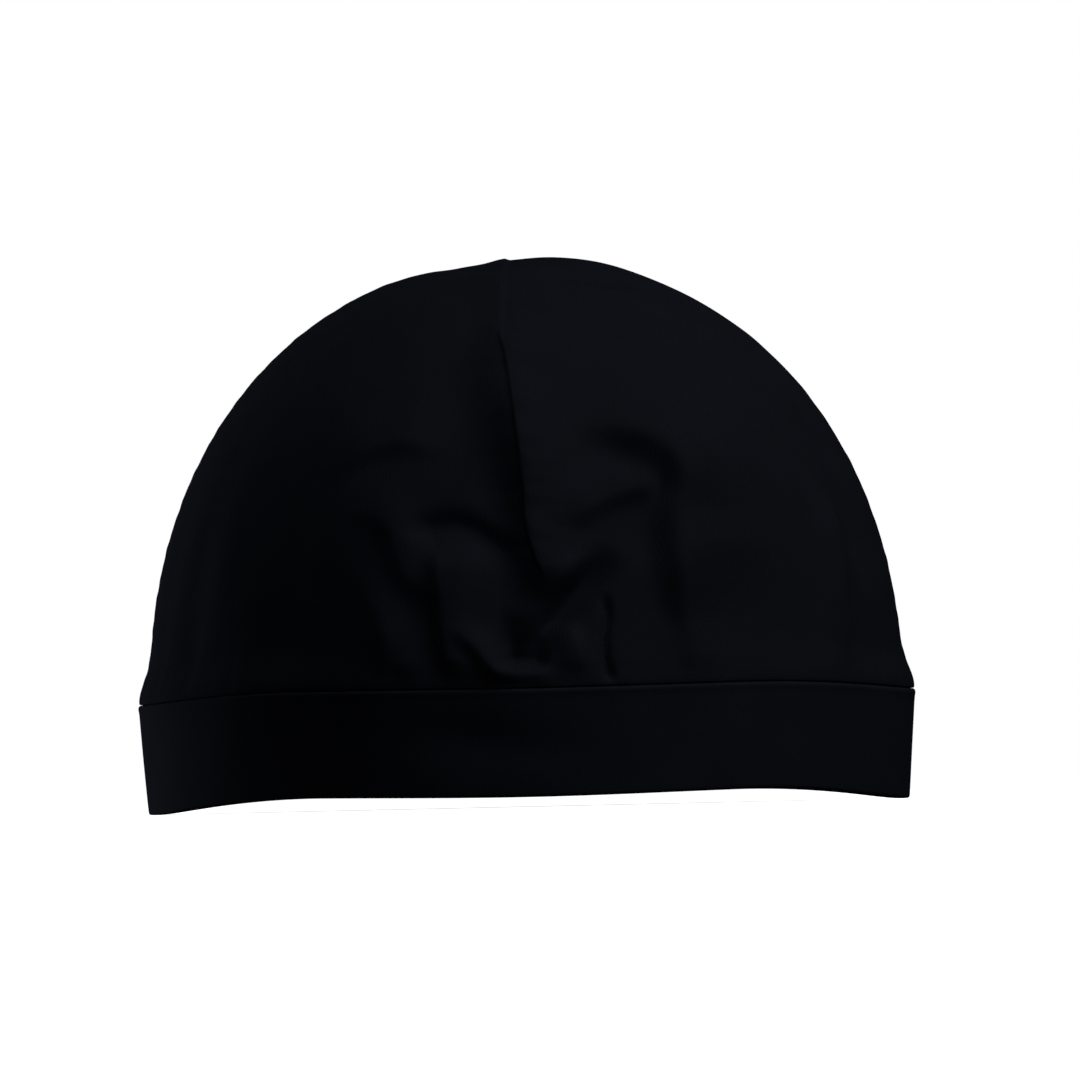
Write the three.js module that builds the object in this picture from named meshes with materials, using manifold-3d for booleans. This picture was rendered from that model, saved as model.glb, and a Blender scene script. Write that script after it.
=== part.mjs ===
// A plain docker beanie standing on its rim, in millimetres.
// +Z is up, -Y is the front and +X is the right side as seen from the front.
// The origin is on the surface that the cap stands on, under the middle of its box.

import * as THREE from 'three';
import { mergeVertices } from 'three/addons/utils/BufferGeometryUtils.js';
import Module from 'manifold-3d';

// Crown: the half outline seen from the front is a superellipse above the shoulder.
const CROWN_HALF_WIDTH = 83.4;
const CROWN_TOP = 121.3;
const SHOULDER = 24.7;
const ROUNDNESS = 2.12;
const CLOTH = 1.3;

// The crown spreads at its foot to meet the band, then turns in and down behind it.
const FOOT_SPREAD = 2.1;
const FOOT_SPREAD_HEIGHT = 6.2;
const FOOT = 25.1;
const HEM_HALF_WIDTH = 83.2;
const HEM_TOP = 23.2;
const HEM_BOTTOM = 17.2;

// Band: one folded strip, wider at the top than at the rim.
const BAND_RIM_HALF_WIDTH = 84.3;
const BAND_TOP_HALF_WIDTH = 86;
const BAND_TOP = 24.3;
const BAND_WALL = 2.3;
const BAND_EDGE = 1.2;
const PIECE_GAP = 0.3;

// Seen from above the cap is longer than it is wide by this ratio.
const LENGTHWISE = 100 / 86;

// The rim rests on its two sides and lifts a little at the front and the back.
const REST_ANGLE = 14;
const LIFTED_ANGLE = 52;
const FRONT_LIFT = 3.3;
const BACK_LIFT = 3;
const MIDDLE_SAG = 1;
const MIDDLE_SAG_WIDTH = 30;
const SEAM_SHARE_OF_LIFT = 0.62;
const LIFT_FADES_AT = 60;

// Mesh fineness. Columns and rows crowd towards the creases at the front, low down.
const COLUMNS = 72;
const ROWS = 24;
const COLUMN_CROWDING = 0.42;
const ROW_CROWDING = 1.3;
const PATH_SAMPLES = 24;
const WELD = 1e-4;

// The front's swells and creases fade out this far before the side seams, creases fade
// in just above the band, and the swells at the top run over to the back.
const FRONT_FADE = 25;
const ABOVE_SEAM_FADE = 4;
const TOP_STARTS = 100;
const TOP_FULL = 116;

const JERSEY_BLACK = 0x14161b;
const JERSEY_ROUGHNESS = 0.9;

// Broad hollows and swells that run through the crown and the band alike.
// x and z are places seen from the front, rise is outwards, wide and tall are half sizes.
const SWAYS = [
  { name: 'left hollow', x: -54, z: 42, wide: 10, tall: 38, rise: -1.4 },
  { name: 'left cheek', x: -75, z: 45, wide: 6, tall: 26, rise: -1.1 },
  { name: 'band dent', x: -8, z: 14, wide: 16, tall: 5, rise: -0.8 },
  { name: 'right cheek', x: 39, z: 79, wide: 14, tall: 19, rise: 1.8 },
];

// Swells of the cloth between the creases at the front, measured the same way.
// turn tips the long side clockwise, in degrees.
const PILLOWS = [
  { name: 'middle pillow', x: -9, z: 46, wide: 6, tall: 14, turn: -6, rise: 0.8 },
  { name: 'right pillow', x: 23, z: 44, wide: 6, tall: 14, turn: 4, rise: 0.7 },
  { name: 'left pillow', x: -30, z: 40, wide: 5, tall: 9, turn: -15, rise: 0.9 },
  { name: 'pocket', x: 0, z: 34, wide: 4.5, tall: 4, turn: 0, rise: -1.6 },
  { name: 'left of the top', x: -10, z: 121, wide: 9, tall: 6, turn: 0, rise: -0.8 },
  { name: 'right of the top', x: 13, z: 121, wide: 11, tall: 6, turn: 0, rise: 0.45 },
];

// Creases of the front panel along a line of [x, z] places seen from the front. A crease
// is a ridge, or a valley where rise is below 0. left and right are how far its flanks
// reach as one walks along the line, and ends is the share of it that fades at each end.
const CREASES = [
  { name: 'left corner', rise: 1.1, left: 11, right: 16, ends: 0.25,
    path: [[-22, 20], [-27, 33], [-33, 47], [-37, 62], [-43, 75], [-50, 87], [-55, 99]] },
  { name: 'dart', rise: 4.4, left: 7, right: 12, ends: 0.35,
    path: [[5.6, 46], [3, 54], [0.8, 66], [-0.5, 78], [-2, 90], [-3.6, 104]] },
  { name: 'right long fold', rise: 4.4, left: 5, right: 15, ends: 0.2,
    path: [[37, 22], [34.6, 38], [32, 54], [33.2, 66], [28.5, 76], [19, 81], [8, 82.5]] },
  { name: 'arch over the middle', rise: -1.8, left: 2.8, right: 4.2, ends: 0.3,
    path: [[-25, 57.5], [-21, 60.8], [-16, 61.8], [-8, 58.5], [-1, 51.5]] },
  { name: 'outer left fold', rise: 1.9, left: 3.6, right: 6, ends: 0.25,
    path: [[-15.5, 46.5], [-23, 49.2], [-26.3, 56], [-31.5, 63.5], [-41, 65.5]] },
  { name: 'left upright fold', rise: 2, left: 3, right: 7, ends: 0.15,
    path: [[-13.2, 22], [-16, 34.5], [-17, 46], [-18, 58]] },
  { name: 'low diagonal', rise: 1.9, left: 2.4, right: 3, ends: 0.2,
    path: [[9, 29.5], [-1, 27.8], [-7.2, 30.4], [-12, 36.8], [-16, 40]] },
  { name: 'right diagonal', rise: -2.6, left: 2.6, right: 2.4, ends: 0.3,
    path: [[-1, 35], [3, 38], [7, 43], [12, 49.5], [19, 57]] },
  { name: 'right arch', rise: 2, left: 2.8, right: 6, ends: 0.3,
    path: [[29, 68.6], [21, 67.2], [16, 65], [12, 61.5], [10.6, 58]] },
  { name: 'light pleat', rise: 1.6, left: 5, right: 2.4, ends: 0.2,
    path: [[12.6, 24], [11.4, 31], [9.6, 37], [8, 42]] },
  { name: 'right side crease', rise: 1, left: 2.4, right: 2.4, ends: 0.2,
    path: [[63, 74], [67, 64], [68.4, 50], [69.2, 26]] },
  { name: 'top crescent', rise: -1.4, left: 1.6, right: 2.4, ends: 0.3,
    path: [[4, 117.6], [13, 117], [20.5, 115.4], [28, 112.4]] },
];

const wasm = await Module();
wasm.setup();

const bell = (distance, reach) => Math.exp(-((distance / reach) ** 2));
const smooth = (low, high, value) => THREE.MathUtils.smoothstep(value, low, high);

// How far the rim lifts at an angle from the right side, turning towards the back.
function rimLift(angle) {
  const atFront = Math.sin(angle) < 0;
  const fromSide = THREE.MathUtils.radToDeg(Math.asin(Math.abs(Math.sin(angle))));
  const fromMiddle = 90 - fromSide;
  const raised = smooth(REST_ANGLE, LIFTED_ANGLE, fromSide);
  const sag = MIDDLE_SAG * bell(fromMiddle, MIDDLE_SAG_WIDTH);
  return (atFront ? FRONT_LIFT : BACK_LIFT) * raised - sag * raised;
}

function liftAt(angle, height) {
  const belowSeam = 1 - (1 - SEAM_SHARE_OF_LIFT) * Math.min(height / BAND_TOP, 1);
  return rimLift(angle) * belowSeam * (1 - smooth(BAND_TOP, LIFT_FADES_AT, height));
}

function swayAt(x, height) {
  let rise = 0;
  for (const sway of SWAYS) {
    rise += sway.rise * bell(x - sway.x, sway.wide) * bell(height - sway.z, sway.tall);
  }
  return rise;
}

function pillowAt(x, height) {
  let rise = 0;
  for (const pillow of PILLOWS) {
    const turn = THREE.MathUtils.degToRad(pillow.turn);
    const acrossX = x - pillow.x;
    const upZ = height - pillow.z;
    const across = acrossX * Math.cos(turn) - upZ * Math.sin(turn);
    const along = acrossX * Math.sin(turn) + upZ * Math.cos(turn);
    rise += pillow.rise * bell(across, pillow.wide) * bell(along, pillow.tall);
  }
  return rise;
}

// Each crease's line as a smooth curve, sampled once.
const creaseLines = CREASES.map((crease) => {
  const corners = crease.path.map(([x, z]) => new THREE.Vector2(x, z));
  return new THREE.SplineCurve(corners).getPoints(PATH_SAMPLES);
});

// Signed distance to a line, positive to its right, and the share of it walked there.
function nearestOnLine(line, place) {
  let best = { distance: Infinity, signed: 0, share: 0 };
  const steps = line.length - 1;
  for (let step = 0; step < steps; step += 1) {
    const start = line[step];
    const run = line[step + 1].clone().sub(start);
    const offset = place.clone().sub(start);
    const along = THREE.MathUtils.clamp(offset.dot(run) / run.lengthSq(), 0, 1);
    const away = offset.clone().addScaledVector(run, -along);
    const distance = away.length();
    if (distance < best.distance) {
      const side = Math.sign(offset.x * run.y - offset.y * run.x);
      best = { distance, signed: side * distance, share: (step + along) / steps };
    }
  }
  return best;
}

function creaseAt(x, height) {
  const place = new THREE.Vector2(x, height);
  let rise = 0;
  CREASES.forEach((crease, index) => {
    const near = nearestOnLine(creaseLines[index], place);
    const fade = smooth(0, crease.ends, near.share) * smooth(0, crease.ends, 1 - near.share);
    const reach = near.signed > 0 ? crease.right : crease.left;
    rise += crease.rise * fade * bell(near.signed, reach);
  });
  return rise;
}

// Outward direction of the smooth crown at a place on it.
function crownNormal(x, y, height) {
  const across = Math.hypot(x, y / LENGTHWISE);
  const flat = (across / CROWN_HALF_WIDTH) ** (ROUNDNESS - 1);
  const up = Math.max((height - SHOULDER) / (CROWN_TOP - SHOULDER), 0) ** (ROUNDNESS - 1);
  const level = across > 0 ? flat / (CROWN_HALF_WIDTH * across) : 0;
  const normal = new THREE.Vector3(
    level * x,
    (level * y) / LENGTHWISE ** 2,
    up / (CROWN_TOP - SHOULDER),
  );
  return normal.normalize();
}

// Makes a ring or dome from a profile of [half width, height] places, then lays it on the
// long plan with its columns crowded at the front, and gives it the lift and the swells.
function clothRound(profile, isCrown) {
  const points = profile.map(([half, height]) => new THREE.Vector2(half, height));
  const geometry = new THREE.LatheGeometry(points, COLUMNS);
  geometry.deleteAttribute('normal');
  geometry.deleteAttribute('uv');
  const position = geometry.getAttribute('position');
  for (let index = 0; index < position.count; index += 1) {
    const half = Math.hypot(position.getX(index), position.getZ(index));
    const height = position.getY(index);
    const turned = Math.atan2(position.getX(index), position.getZ(index));
    const fromFront = turned - COLUMN_CROWDING * Math.sin(turned);
    const angle = fromFront - Math.PI / 2;
    const x = half * Math.cos(angle);
    const y = half * Math.sin(angle) * LENGTHWISE;
    const place = new THREE.Vector3(x, y, height);
    const atFront = smooth(0, FRONT_FADE, -y);
    const normal = crownNormal(x, y, isCrown ? height : SHOULDER);
    let rise = swayAt(x, height) * atFront;
    if (isCrown) {
      const aboveSeam = smooth(FOOT, FOOT + ABOVE_SEAM_FADE, height);
      const topSwells = Math.max(atFront, smooth(TOP_STARTS, TOP_FULL, height));
      rise += (pillowAt(x, height) * topSwells + creaseAt(x, height) * atFront) * aboveSeam;
    }
    place.addScaledVector(normal, rise);
    place.z += liftAt(angle, height);
    position.setXYZ(index, place.x, place.y, place.z);
  }
  return mergeVertices(geometry, WELD);
}

// Half width of the crown's outer face, a number of rows up from its foot to the top.
function crownRow(row, inset) {
  const turn = (Math.PI / 2) * (row / ROWS) ** ROW_CROWDING;
  const power = 2 / ROUNDNESS;
  const half = (CROWN_HALF_WIDTH - inset) * Math.max(Math.cos(turn), 0) ** power;
  const height = SHOULDER + (CROWN_TOP - SHOULDER - inset) * Math.sin(turn) ** power;
  const spread = FOOT_SPREAD * bell(height - SHOULDER, FOOT_SPREAD_HEIGHT);
  return [row === ROWS ? 0 : half + spread, height];
}

// The crown's wall, from the top down inside, round the hem and back up outside.
function crownProfile() {
  const outside = [];
  const inside = [];
  for (let row = 1; row <= ROWS; row += 1) {
    outside.push(crownRow(row, 0));
    inside.push(crownRow(row, CLOTH));
  }
  const spreadFoot = CROWN_HALF_WIDTH + FOOT_SPREAD;
  const hem = [
    [HEM_HALF_WIDTH - CLOTH, HEM_TOP + CLOTH / 2],
    [HEM_HALF_WIDTH - CLOTH, HEM_BOTTOM],
    [HEM_HALF_WIDTH, HEM_BOTTOM],
    [HEM_HALF_WIDTH, HEM_TOP],
    [spreadFoot, FOOT],
  ];
  return [...inside.reverse(), ...hem, ...outside];
}

// The band's wall in section: flat under the rim, rounded at both edges.
function bandProfile() {
  const innerTop = HEM_HALF_WIDTH + PIECE_GAP;
  const innerRim = BAND_RIM_HALF_WIDTH - BAND_WALL;
  const edge = BAND_EDGE / 2;
  return [
    [innerRim, edge],
    [innerRim + edge, 0],
    [BAND_RIM_HALF_WIDTH - edge, 0],
    [BAND_RIM_HALF_WIDTH, BAND_EDGE],
    [BAND_TOP_HALF_WIDTH, BAND_TOP - BAND_EDGE],
    [BAND_TOP_HALF_WIDTH - edge, BAND_TOP],
    [innerTop + edge, BAND_TOP - edge],
    [innerTop, HEM_TOP - BAND_EDGE],
    [innerTop, HEM_BOTTOM],
    [innerRim, edge],
  ];
}

function toSolid(geometry) {
  const solid = new wasm.Mesh({
    numProp: 3,
    vertProperties: new Float32Array(geometry.getAttribute('position').array),
    triVerts: new Uint32Array(geometry.getIndex().array),
  });
  return new wasm.Manifold(solid);
}

function fromSolid(solid) {
  const mesh = solid.getMesh();
  const geometry = new THREE.BufferGeometry();
  geometry.setAttribute('position', new THREE.BufferAttribute(mesh.vertProperties, 3));
  geometry.setIndex(new THREE.BufferAttribute(mesh.triVerts, 1));
  geometry.computeVertexNormals();
  return geometry;
}

// One half of the crown, cut a little short of the side seams' plane.
function crownHalf(crown, side) {
  const size = 3 * CROWN_TOP;
  const cutter = new THREE.BoxGeometry(size, size, size);
  cutter.translate(0, side * (size / 2 + PIECE_GAP / 2), 0);
  cutter.deleteAttribute('normal');
  cutter.deleteAttribute('uv');
  const keep = toSolid(mergeVertices(cutter));
  return fromSolid(toSolid(crown).intersect(keep));
}

function clothMesh(name, geometry) {
  const jersey = new THREE.MeshStandardMaterial({
    color: JERSEY_BLACK,
    roughness: JERSEY_ROUGHNESS,
    metalness: 0,
  });
  const mesh = new THREE.Mesh(geometry, jersey);
  mesh.name = name;
  return mesh;
}

const FRONT = -1;
const BACK = 1;
const crown = clothRound(crownProfile(), true);
const band = clothRound(bandProfile(), false);
band.computeVertexNormals();

const group = new THREE.Group();
group.add(clothMesh('crown_front', crownHalf(crown, FRONT)));
group.add(clothMesh('crown_back', crownHalf(crown, BACK)));
group.add(clothMesh('band', band));

export default group;
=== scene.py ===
import math
from typing import NamedTuple

import bpy
import numpy as np
from bpy.props import FloatProperty, FloatVectorProperty, PointerProperty
from mathutils import Matrix, Vector


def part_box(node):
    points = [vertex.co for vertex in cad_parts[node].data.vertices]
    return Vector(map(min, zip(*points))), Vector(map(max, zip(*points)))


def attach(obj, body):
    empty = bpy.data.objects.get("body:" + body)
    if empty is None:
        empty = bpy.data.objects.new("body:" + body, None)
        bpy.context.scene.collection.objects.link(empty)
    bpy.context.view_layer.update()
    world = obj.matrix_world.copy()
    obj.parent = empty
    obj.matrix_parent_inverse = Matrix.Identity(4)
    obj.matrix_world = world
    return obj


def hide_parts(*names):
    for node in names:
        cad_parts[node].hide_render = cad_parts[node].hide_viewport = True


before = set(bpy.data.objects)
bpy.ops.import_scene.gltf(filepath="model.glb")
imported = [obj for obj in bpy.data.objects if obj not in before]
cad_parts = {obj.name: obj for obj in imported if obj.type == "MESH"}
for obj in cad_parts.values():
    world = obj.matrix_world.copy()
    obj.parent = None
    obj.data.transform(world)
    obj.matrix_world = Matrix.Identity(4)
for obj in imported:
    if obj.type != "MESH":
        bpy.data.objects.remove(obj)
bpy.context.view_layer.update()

bl_info = {
    "name": "Docker Beanie",
    "version": (1, 0, 0),
    "blender": (4, 5, 0),
    "location": "View3D > Sidebar > Beanie",
    "description": "Builds a plain docker beanie of black jersey, standing on its rim",
    "category": "Object",
}

# The shape is worked out in millimetres: x to the right, -y to the front, z up.
MM = 0.001
BAND_LOW, BAND_HIGH = (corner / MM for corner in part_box("band"))
# The box of the faceted solid falls this far short of the band's true half width.
SHORT_OF_ROUND = 0.09
BAND_TOP_HALF_WIDTH = (BAND_HIGH.x - BAND_LOW.x) / 2 + SHORT_OF_ROUND
LENGTHWISE = (BAND_HIGH.y - BAND_LOW.y) / (BAND_HIGH.x - BAND_LOW.x)

# The crown is a dome, an ellipse from above and nearly one from the front. Its shoulder is
# the dome's own lowest row. Near its foot it spreads a little, out over the band's edge, and
# from there it turns in to its hem, inside the band.
CROWN_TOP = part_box("crown_front")[1].z / MM
CROWN_HALF_WIDTH = BAND_TOP_HALF_WIDTH - 2.6
ROUNDNESS = 2.12
SHOULDER = 24.7
FOOT = 24.6
FOOT_SPREAD = 2.5
FOOT_SPREAD_HEIGHT = 6.2
HEM_HALF_WIDTH = CROWN_HALF_WIDTH - 0.2
HEM_BOTTOM = 17.2

# The band is a strip folded at the rim.
BAND_RIM_HALF_WIDTH = BAND_TOP_HALF_WIDTH - 1.7
BAND_TOP = 24.3
BAND_WALL = 2.3

# The rim rests at its two sides and lifts at the front and the back. The angles and the
# sag's width are in degrees round the plan, the angles from the side.
REST_ANGLE = 9
LIFTED_ANGLE = 56
FRONT_LIFT = 3.3
BACK_LIFT = 3.0
MIDDLE_SAG = 1.0
MIDDLE_SAG_WIDTH = 30
SEAM_SHARE_OF_LIFT = 0.62
LIFT_FADES_AT = 60


class Swell(NamedTuple):
    """A soft rise, or a hollow where rise is below 0. wide and tall are half sizes.

    turn leans its upper end to the right, in degrees.
    """

    name: str
    x: float
    z: float
    wide: float
    tall: float
    turn: float
    rise: float


class Crease(NamedTuple):
    """A ridge, or a valley where rise is below 0, along a line of (x, z) places.

    left and right are how far its flanks reach for one who walks along the line, and
    start and end are the shares of the line over which it fades in and out.
    """

    name: str
    rise: float
    left: float
    right: float
    start: float
    end: float
    path: tuple


# Forms that run through the crown and the band alike.
FRONT_SWAYS = (
    Swell("left hollow", -50, 46, 9.5, 40, -8, -1.2),
    Swell("left cheek", -74, 46, 6.5, 24, 0, -0.8),
    Swell("band dent", -8, 14, 16, 5, 6, -0.9),
    Swell("right cheek", 37, 77, 12, 19, -35, 2.0),
)
BACK_SWAYS = (
    Swell("hollow by the left seam", 54, 46, 13, 34, 6, -1.8),
    Swell("hollow by the right seam", -50, 40, 12, 32, -6, -2.0),
    Swell("band dent", 10, 13, 18, 6, -4, -0.6),
)

FRONT_SWELLS = (
    Swell("middle pillow", -9, 46, 6, 14, -6, 0.8),
    Swell("right pillow", 23, 44, 6, 14, 4, 0.7),
    Swell("left pillow", -29.5, 38, 4.5, 12, -22, 1.6),
    Swell("right dimple", 28, 57, 4, 5, 0, -1.0),
    Swell("far right dimple", 50, 48, 6, 5, 0, -0.2),
    Swell("upper right patch", 21, 70, 4, 3, 0, 0.4),
    Swell("below the dart", 8, 48.5, 2.6, 6, 45, 2.0),
    Swell("left of the dart", -12, 86, 6, 11, 8, -0.9),
    Swell("beside the top seam", -1, 101, 6, 7, 0, 1.3),
    Swell("slack over the band", 6, 34.5, 62, 5.5, 0, 0.9),
)
BACK_SWELLS = (
    Swell("slack over the band", -4, 37, 14, 8, 0, 1.2),
    Swell("slack by the dart", 16, 56, 8, 14, 10, 0.8),
)
TOP_SWELLS = (
    Swell("left of the top", -12, 121, 10, 6, 0, -0.9),
    Swell("right of the top", 16, 121, 13, 7, 0, 0.8),
)

FRONT_CREASES = (
    Crease("left corner", 0.8, 12.0, 16.0, 0.2, 0.3,
           ((-22, 20), (-27, 33), (-33, 47), (-37, 62), (-43, 75), (-50, 87), (-55, 99))),
    Crease("dart flank above", 2.4, 7.5, 14.0, 0.3, 0.35,
           ((0.6, 62), (-0.6, 77), (-1.8, 88), (-2.9, 97), (-3.8, 106))),
    Crease("dart flank below", 3.4, 4.2, 10.0, 0.18, 0.4,
           ((6.2, 44.5), (4.2, 51), (2.2, 58), (1.6, 66), (0.4, 77), (-0.8, 88), (-1.6, 95))),
    Crease("right long fold", 4.4, 4.0, 16.0, 0.3, 0.25,
           ((34.6, 38), (33, 46), (32.1, 54), (32.3, 62), (33, 68), (31.5, 73), (27.5, 77),
            (20, 81), (6, 82.5))),
    Crease("right long fold's foot", 2.6, 2.9, 7.0, 0.7, 0.5,
           ((38.5, 16), (36.6, 26), (35, 36), (33.4, 46), (32.2, 56), (32, 64))),
    Crease("right long fold's head", 1.8, 2.6, 9.0, 0.3, 0.3,
           ((34, 62), (33.4, 68), (29.6, 73.8), (23.8, 78), (17.5, 80.8), (9, 82))),
    Crease("arch over the middle", -2.0, 2.6, 4.2, 0.2, 0.35,
           ((-25, 57.5), (-21, 60.8), (-16, 61.8), (-12, 61), (-8, 58.5), (-4, 55),
            (-1, 51.5))),
    Crease("outer left fold", 1.4, 3.2, 6.0, 0.2, 0.35,
           ((-15.5, 46.5), (-19.5, 47.6), (-23, 49.2), (-25.2, 52), (-26.3, 56),
            (-27.8, 60.5), (-31, 63.6), (-36, 64.8), (-42, 65))),
    Crease("left arc", 1.5, 2.4, 9.0, 0.4, 0.4,
           ((-12, 77.5), (-20, 79), (-26, 79.6), (-32, 78.3), (-38.5, 75), (-46, 70))),
    Crease("left upright fold", 2.2, 2.8, 7.0, 0.1, 0.2,
           ((-13.2, 22), (-14.6, 29), (-16, 34.5), (-16.7, 40), (-17, 46), (-17.4, 52),
            (-18, 58))),
    Crease("low diagonal", 2.0, 1.9, 2.8, 0.5, 0.25,
           ((10, 28.4), (5, 27.8), (-0.5, 27.4), (-4.8, 28.1), (-7.2, 30.4), (-9.6, 34),
            (-12, 36.8), (-16, 40))),
    Crease("right diagonal", -3.0, 2.6, 4.5, 0.2, 0.35,
           ((-1.6, 31.5), (3.2, 36.4), (7.3, 41.6), (12, 47.6), (16.4, 52.6), (19.6, 56.3))),
    Crease("right arch", 2.4, 2.6, 6.0, 0.25, 0.35,
           ((29.5, 68.6), (26, 68.3), (21, 67.2), (16, 65.2), (12.2, 62.2), (10.6, 58.5))),
    Crease("pocket", -2.8, 2.2, 4.6, 0.2, 0.6,
           ((-3, 29.8), (-3.2, 33), (-3.5, 36), (-3.7, 40), (-3.4, 44))),
    Crease("pocket edge", -2.2, 3.0, 1.2, 0.3, 0.3,
           ((-5, 31.8), (-2, 31.4), (2, 31.2), (6, 31.4))),
    Crease("light pleat", 2.4, 5.5, 2.4, 0.6, 0.3,
           ((12.4, 22), (11.2, 31), (9.6, 36.5), (8.6, 41))),
    Crease("thin crease", -1.4, 0.9, 1.2, 0.15, 0.1,
           ((17.4, 47), (17.9, 41), (17.1, 36), (17.2, 32), (18, 29), (19.4, 24.5))),
    Crease("right side crease", 1.8, 3.6, 2.0, 0.25, 0.4,
           ((69.2, 24), (68.6, 40), (68.3, 54), (67, 64), (63, 74))),
    Crease("right edge", -1.8, 5.0, 2.4, 0.35, 0.35,
           ((77, 42), (75.6, 53), (73, 62), (68, 74), (62.5, 83), (57, 91))),
    Crease("top crescent", -2.2, 1.2, 1.9, 0.25, 0.45,
           ((4, 117.6), (13, 117.0), (20.5, 115.4), (28, 112.4))),
)
BACK_CREASES = (
    Crease("back dart flank", 1.8, 9.0, 3.4, 0.2, 0.4,
           ((0.5, 44), (-0.5, 62), (-1.2, 80), (-2.4, 100))),
    Crease("left slack fold", -1.9, 3.4, 2.2, 0.3, 0.3,
           ((24, 27), (18, 37), (10, 45), (2, 51))),
    Crease("right slack fold", -1.8, 2.2, 3.2, 0.3, 0.3,
           ((-24, 28), (-16, 35), (-8, 43), (-2, 50))),
    Crease("upright fold", 1.6, 6.5, 2.8, 0.15, 0.55,
           ((34, 24), (32, 38), (31, 50), (35, 62), (42, 70))),
    Crease("far upright fold", 1.3, 2.8, 7.0, 0.15, 0.55,
           ((-38, 24), (-37, 40), (-39, 52), (-46, 63))),
    Crease("low fold", 1.6, 2.2, 3.0, 0.3, 0.3,
           ((14, 29), (5, 28), (-5, 28.4), (-14, 30.5))),
)

# The darts' seams, from the band up to the top, as (x, z) places.
FRONT_DART = ((0, 20), (2.5, 38), (4.3, 47.5), (2.2, 54), (0.6, 61), (0.3, 68), (-0.7, 78),
              (-1.7, 88), (-2.7, 96), (-3.9, 102), (-3.9, 110), (-3.5, 116), (-2.7, 122))
BACK_DART = ((0, 20), (0.5, 44), (-0.5, 62), (-1.2, 80), (-2.4, 100), (-2.7, 122))
DART_TIP = 47
DART_TIP_FADE = 5

# The heights between which a dart's turned cloth changes from its right side to its left.
FRONT_SEAM_TURNS = (99, 104)
BACK_SEAM_TURNS = (86, 119)

# The front panel's cloth runs on under the back one, as the side seams' allowance. These are
# its columns' distances past the seam.
ALLOWANCE = (-0.01, -0.9, -2.0, -3.4, -5.0)


class CrownPanel(NamedTuple):
    """What sets one panel of the crown apart. side is -1 for the front and 1 for the back."""

    side: int
    sways: tuple
    swells: tuple
    creases: tuple
    dart: tuple
    seam_turns: tuple
    allowance: tuple


CROWN_PANELS = {
    "crown_front": CrownPanel(-1, FRONT_SWAYS, FRONT_SWELLS, FRONT_CREASES, FRONT_DART,
                              FRONT_SEAM_TURNS, ALLOWANCE),
    "crown_back": CrownPanel(1, BACK_SWAYS, BACK_SWELLS, BACK_CREASES, BACK_DART,
                             BACK_SEAM_TURNS, ()),
}


def bell(distance, reach):
    """1 at no distance, falling off on both sides. A reach away it is about a third."""
    return np.exp(-((distance / reach) ** 2))


def smooth(low, high, value):
    """0 at the low end and 1 at the high end, with a soft start and end."""
    share = np.clip((value - low) / (high - low), 0, 1)
    return share * share * (3 - 2 * share)


def in_and_out(value, starts, full, fades, gone):
    """Rises from 0 to 1 between the first two values, and falls to 0 between the others."""
    return smooth(starts, full, value) * (1 - smooth(fades, gone, value))


def waves(way, terms):
    """A sum of waves along a way, each as (height, radians for each unit of it, start)."""
    return sum(height * np.sin(way * pace + start) for height, pace, start in terms)


LINE_SAMPLES = 120


def spline(path, samples=LINE_SAMPLES):
    """Points along a smooth curve through the places of a path."""
    knots = np.array(path, float)
    ends = np.vstack([2 * knots[0] - knots[1], knots, 2 * knots[-1] - knots[-2]])
    steps = np.linspace(0, len(knots) - 1, samples)
    first = np.minimum(steps.astype(int), len(knots) - 2)
    t = (steps - first)[:, None]
    a, b, c, d = (ends[first + k] for k in range(4))
    return 0.5 * (2 * b + (c - a) * t + (2 * a - 5 * b + 4 * c - d) * t**2
                  + (3 * b - a - 3 * c + d) * t**3)


def nearest_on_line(line, x, z):
    """Signed distance to a line, above 0 on its right, and the share of it walked there."""
    best = np.full(x.shape, np.inf)
    signed = np.zeros(x.shape)
    share = np.zeros(x.shape)
    steps = len(line) - 1
    for step in range(steps):
        run = line[step + 1] - line[step]
        off_x = x - line[step, 0]
        off_z = z - line[step, 1]
        along = np.clip((off_x * run[0] + off_z * run[1]) / (run @ run), 0, 1)
        distance = np.hypot(off_x - along * run[0], off_z - along * run[1])
        side = np.sign(off_x * run[1] - off_z * run[0])
        closer = distance < best
        best = np.where(closer, distance, best)
        signed = np.where(closer, side * distance, signed)
        share = np.where(closer, (step + along) / steps, share)
    return signed, share


def swell_rise(swells, x, z):
    """Rise of the swells at places seen from the front."""
    rise = np.zeros(x.shape)
    for swell in swells:
        turn = math.radians(swell.turn)
        across = (x - swell.x) * math.cos(turn) - (z - swell.z) * math.sin(turn)
        along = (x - swell.x) * math.sin(turn) + (z - swell.z) * math.cos(turn)
        rise += swell.rise * bell(across, swell.wide) * bell(along, swell.tall)
    return rise


# A crease is worked out as far as this many times its reach. It fades in above the crown's
# foot, so that it doesn't overhang the band, over a height that goes with its reach.
CREASE_MARGIN = 2.6
CREASE_FADE = 1.5
CREASE_FADE_PER_REACH = 0.75


def crease_rise(creases, x, z, above_foot):
    """Rise of the creases at places seen from the front."""
    rise = np.zeros(x.shape)
    for crease in creases:
        line = spline(crease.path)
        reach = max(crease.left, crease.right)
        low = line.min(0) - CREASE_MARGIN * reach
        high = line.max(0) + CREASE_MARGIN * reach
        near = (x > low[0]) & (x < high[0]) & (z > low[1]) & (z < high[1])
        signed, share = nearest_on_line(line, x[near], z[near])
        flank = np.where(signed > 0, bell(signed, crease.right), bell(signed, crease.left))
        fade = smooth(0, crease.start, share) * smooth(0, crease.end, 1 - share)
        fade *= smooth(0, CREASE_FADE + CREASE_FADE_PER_REACH * reach, above_foot[near])
        rise[near] += crease.rise * flank * fade
    return rise


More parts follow.
